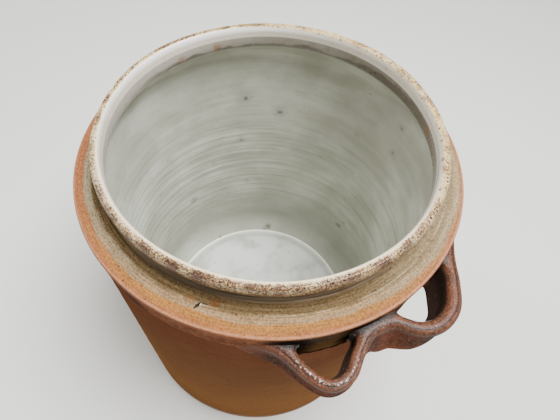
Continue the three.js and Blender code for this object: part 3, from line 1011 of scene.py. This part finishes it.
def rim_glaze():
    glaze = Glaze("rim_glaze")
    colour = glaze.mix(glaze.noise(0.06, 3.0).rise(0.35, 0.65), RIM_CREAM, RIM_CREAM_LIGHT)
    inner_wall = glaze.z.rise(RIM_TOP - 2.5, RIM_TOP - 8.0) * glaze.radius.rise(RIM_R - 1.5, RIM_R - 3.5)
    colour = colour.layer(inner_wall * glaze.toward(112.0, 100.0), LILAC, 0.7)
    fallen = (RIM_TOP - glaze.z) * glaze.radius.rise(RIM_R - 0.4, RIM_R + 1.2, 0.0, 0.5)
    near_side = glaze.toward(-38.0, 80.0)
    far_side = glaze.toward(95.0, 95.0)
    outward = glaze.radius + fallen - near_side * 0.9 + far_side * 1.8
    rim_inside = outward.rise(RIM_R - 0.2, RIM_R - 2.8)
    colour = colour.layer(rim_inside, RIM_INSIDE, 0.85)
    colour = colour.layer(rim_inside * near_side, RIM_INSIDE_WARM, 0.8)
    outer = outward.rise(RIM_R - 3.2, RIM_R + 0.6)
    sprinkle = glaze.noise(0.42, 5.0, 0.8)
    broad = glaze.noise(0.07, 3.0)
    density = outer * (near_side * 0.03 - far_side * 0.04 + 0.12)
    ochre = (sprinkle + density + (broad - 0.5) * 0.3).rise(0.57, 0.68)
    colour = colour.layer(ochre * outer.rise(0.0, 0.5, 0.55, 1.0), RIM_OCHRE, 0.8)
    brown = glaze.noise(0.9, 5.0, 0.85)
    brown = (brown + (density + 0.04) + (broad - 0.5) * 0.3).rise(0.65, 0.69)
    colour = colour.layer(brown * outer.rise(0.0, 0.4), RIM_BROWN, 0.95)
    crumbs = glaze.noise(1.0, 5.0, 0.85).rise(0.5, 0.54)
    dusting = glaze.noise(1.1, 3.0, 0.8).rise(0.55, 0.62) * outer.rise(0.05, 0.5, 0.15, 1.0)
    colour = colour.layer(dusting, RIM_DUST, 0.5)
    colour = colour.layer(glaze.specks(0.8, 0.42) * outer.rise(0.0, 0.6, 0.02, 1.0), RIM_SPECK, 0.95)
    for azimuth, radius, z, size in RIM_RUST:
        patch = glaze.spot(azimuth, radius, z, size * 1.5, 1.0)
        colour = colour.layer(patch * crumbs, RIM_PATCH, 0.4)
    # Painted highlight: a near-white band on the inside of the rim's top, on the far left and on the
    # right.
    highlight_band = outward.rise(RIM_R - 1.6, RIM_R - 3.0) * glaze.z.rise(RIM_TOP - 7.0, RIM_TOP - 4.0)
    highlight_sides = glaze.either(glaze.toward(168.0, 85.0), glaze.toward(52.0, 35.0))
    colour = colour.layer(highlight_band * highlight_sides, RIM_PAINTED_HIGHLIGHT, 0.9)
    # Painted shade on the rim's lower outer side, over the neck.
    under = glaze.z.rise(RIM_SEAM + 3.5, RIM_SEAM + 0.5) * glaze.radius.rise(RIM_R - 0.5, RIM_R + 1.0)
    colour = colour.layer(under, RIM_UNDER_SHADE, 0.6)
    colour = colour.layer(glaze.spot(46.6, 136.8, 373.0, 3.2, 0.8), RIM_SMUDGE, 0.7)
    roughness = sprinkle.rise(0.4, 0.7, 0.3, 0.6) + rim_inside * -0.06
    height = (sprinkle + crumbs * 0.25) * outer.rise(0.0, 0.6, 0.08, 0.45)
    return glaze.finish(colour, roughness, height, coat=0.35)


STRAP_RED = tone(106, 60, 42)
STRAP_DARK = tone(70, 46, 35)
STRAP_BLUSH = tone(100, 70, 54)
STRAP_PINK = tone(150, 102, 78)
STRAP_LIP = tone(148, 80, 40)
# Soot with painted shade, for the loops' inner faces.
STRAP_SOOT_AND_SHADE = tone(62, 54, 48)
STRAP_DUST = tone(120, 104, 88)
# Painted highlight.
STRAP_PAINTED_GLINT = tone(240, 222, 206)


def strap_glaze():
    glaze = Glaze("strap_glaze")
    facing = glaze.attribute("facing", "Fac")
    clearance = glaze.attribute("clearance", "Fac")
    skin = glaze.radius - (FOOT_R + glaze.z * FLARE)
    clouds = glaze.noise(0.05, 3.0)
    grain = glaze.noise(0.7, 3.0, 0.7)
    colour = glaze.mix(clouds.rise(0.35, 0.65), STRAP_RED, STRAP_DARK)
    top = glaze.z.rise(312.0, 325.0)
    colour = colour.layer(top, STRAP_BLUSH, 0.45)
    colour = colour.layer(glaze.noise(0.5, 4.0, 0.7).rise(0.52, 0.68), STRAP_PINK, 0.6)
    colour = colour.layer(glaze.noise(0.35, 5.0, 0.75).rise(0.5, 0.38), SOOT_AND_SHADE, 0.55)
    lip = glaze.z.rise(297.0, 288.0) * facing.rise(0.0, 3.0)
    colour = colour.layer(lip, STRAP_LIP, 0.6)
    # The loops' inner faces: sooty, with painted shade over them.
    inner = facing.rise(-1.5, -4.5) * glaze.z.rise(325.5, 320.0)
    soot_and_shade = inner * skin.rise(3.0, 9.0)
    colour = colour.layer(soot_and_shade, STRAP_SOOT_AND_SHADE, 0.85)
    colour = colour.layer(soot_and_shade * glaze.specks(0.6, 0.16), STRAP_DUST, 0.5)
    # Painted shade in the crease along the rolled top.
    crease = facing.between(1.0, 2.4, 0.5) * glaze.z.rise(323.0, 325.0)
    colour = colour.layer(crease * grain.rise(0.36, 0.5), SOOT_AND_SHADE, 0.85)
    # Painted highlights glinting along the first loop's rolled top.
    first_loop = glaze.z.rise(322.5, 324.5) * glaze.toward(-17.0, 9.0)
    painted_glints = glaze.noise(0.5, 4.0, 0.8).rise(0.53, 0.6) * facing.between(-0.6, 1.0, 0.4)
    colour = colour.layer(painted_glints * first_loop, STRAP_PAINTED_GLINT, 0.8)
    colour = colour.shade(grain.rise(0.3, 0.7, 0.82, 1.16))
    smear = glaze.either(clearance.rise(0.2, 4.5), skin.rise(2.5, -0.4))
    colour = glaze.mix(smear, colour, outside_colour(glaze))
    # Painted shade in the nook where the strap's inner side meets the wall.
    shaded_nook = facing.rise(0.5, -1.5) * skin.rise(8.0, 3.0) * glaze.z.rise(298.0, 304.0)
    colour = colour.layer(shaded_nook, SOOT_AND_SHADE, 0.9)
    roughness = grain.rise(0.3, 0.7, 0.14, 0.4) + glaze.z.rise(322.0, 316.0, 0.0, 0.4)
    roughness = roughness + facing.rise(2.0, 3.6, 0.0, 0.3) + smear * 0.3
    height = outside_height(glaze) + grain * 0.22
    return glaze.finish(colour, roughness, height, specular=0.2)


FLOOR_GREY = tone(208, 210, 204)
FLOOR_PALE = tone(224, 226, 221)
FLOOR_SMUDGE = tone(150, 151, 139)
# Painted highlight round the floor's edge.
FLOOR_EDGE_HIGHLIGHT = tone(252, 250, 228)
FLOOR_HALO = tone(160, 161, 150)
BARE_FOOT = tone(176, 146, 112)


def floor_glaze():
    glaze = Glaze("floor_glaze")
    smudge = glaze.noise(0.028, 4.0, 0.6)
    wiped = glaze.noise(0.012, 2.0)
    colour = glaze.mix(wiped.rise(0.35, 0.65), FLOOR_GREY, FLOOR_PALE)
    colour = colour.layer(smudge.rise(0.56, 0.3), FLOOR_SMUDGE, 0.6)
    # Painted highlight round the floor's edge.
    edge_highlight = glaze.radius.between(121.4, 124.5, 1.0)
    colour = colour.layer(edge_highlight, FLOOR_EDGE_HIGHLIGHT, 1.0)
    halo = glaze.radius.between(112.0, 119.0, 4.0)
    colour = colour.layer(halo, FLOOR_HALO, 0.5)
    colour = smears(glaze, colour)
    colour = colour.layer(glaze.specks(0.9, 0.012), IRON, 0.5)
    bare = glaze.either(glaze.z.rise(9.0, 7.0), glaze.radius.rise(135.0, 140.0))
    clay = outside_colour(glaze)
    clay = clay.layer(glaze.z.rise(3.0, 0.5), BARE_FOOT, 0.75)
    colour = glaze.mix(bare, colour, clay)
    roughness = smudge.rise(0.3, 0.7, 0.34, 0.5) + bare * 0.2
    height = glaze.noise(0.3, 3.0) * 0.15
    return glaze.finish(colour, roughness, height)


# ---- pieces ----------------------------------------------------------------------------

GLAZES = {
    "floor_glaze": floor_glaze(),
    "wall_glaze": wall_glaze(),
    "shoulder_glaze": shoulder_glaze(),
    "neck_glaze": neck_glaze(),
    "rim_glaze": rim_glaze(),
    "strap_glaze": strap_glaze(),
}
strap = strap_solid()
PIECES = {
    "base_slab": (turned("crock_bottom", slab_outline(), on_axis=True), "floor_glaze"),
    "lower_wall": (turned("crock_wall", wall_outline()), "wall_glaze"),
    "shoulder": (turned("crock_shoulder", shoulder_outline()), "shoulder_glaze"),
    "neck_collar": (turned("crock_neck", neck_outline()), "neck_glaze"),
    "rim_roll": (turned("crock_rim", rim_outline()), "rim_glaze"),
    "strap_handle_a": (strap_piece("strap_near", strap, HANDLE_TURNS[0]), "strap_glaze"),
    "strap_handle_b": (strap_piece("strap_far", strap, HANDLE_TURNS[1]), "strap_glaze"),
}
for node, (piece, slot_name) in PIECES.items():
    piece.data.materials.append(GLAZES[slot_name])
    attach(piece, "root")
    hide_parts(node)


def paper():
    """The pale matt floor."""
    material = bpy.data.materials.new("floor_paper")
    material.use_nodes = True
    shader = material.node_tree.nodes["Principled BSDF"]
    shader.inputs["Base Color"].default_value = tone(236, 237, 232)
    shader.inputs["Roughness"].default_value = 0.9
    return material


# ---- floor, light and camera -----------------------------------------------------------

bpy.ops.mesh.primitive_plane_add(size=8.0, location=(0.0, 0.0, -0.0005))
floor = bpy.context.object
floor.name = "floor"
floor.data.materials.append(paper())

world = bpy.data.worlds.new("studio")
world.use_nodes = True
world.node_tree.nodes["Background"].inputs["Color"].default_value = (1.0, 0.985, 0.96, 1.0)
world.node_tree.nodes["Background"].inputs["Strength"].default_value = 0.32
bpy.context.scene.world = world


def soft_light(name, location, aim, size, power, colour):
    lamp = bpy.data.lights.new(name, "AREA")
    lamp.shape = "DISK"
    lamp.size = size
    lamp.energy = power
    lamp.color = colour
    holder = bpy.data.objects.new(name, lamp)
    holder.location = location
    holder.rotation_mode = "QUATERNION"
    holder.rotation_quaternion = (Vector(aim) - Vector(location)).to_track_quat("-Z", "Y")
    bpy.context.scene.collection.objects.link(holder)


soft_light("window", (-0.9, -0.5, 1.5), (0.0, 0.0, 0.2), 0.7, 13.0, (1.0, 0.98, 0.95))
soft_light("sky", (0.30, 0.26, 1.7), (-0.02, 0.02, 0.2), 0.9, 60.0, (0.99, 0.99, 1.0))

CAMERA_PLACE = Vector((0.22605, -0.14584, 0.65656))
CAMERA_AIM = Vector((0.0323, -0.0051, 0.3))
CAMERA_ROLL = math.radians(5.91)

camera_data = bpy.data.cameras.new("camera")
camera_data.sensor_width = 36.0
camera_data.lens = 30.23
camera = bpy.data.objects.new("camera", camera_data)
camera.location = CAMERA_PLACE
camera.rotation_mode = "QUATERNION"
level = (CAMERA_AIM - CAMERA_PLACE).to_track_quat("-Z", "Y")
camera.rotation_quaternion = level @ Quaternion((0.0, 0.0, 1.0), CAMERA_ROLL)
bpy.context.scene.collection.objects.link(camera)
bpy.context.scene.camera = camera
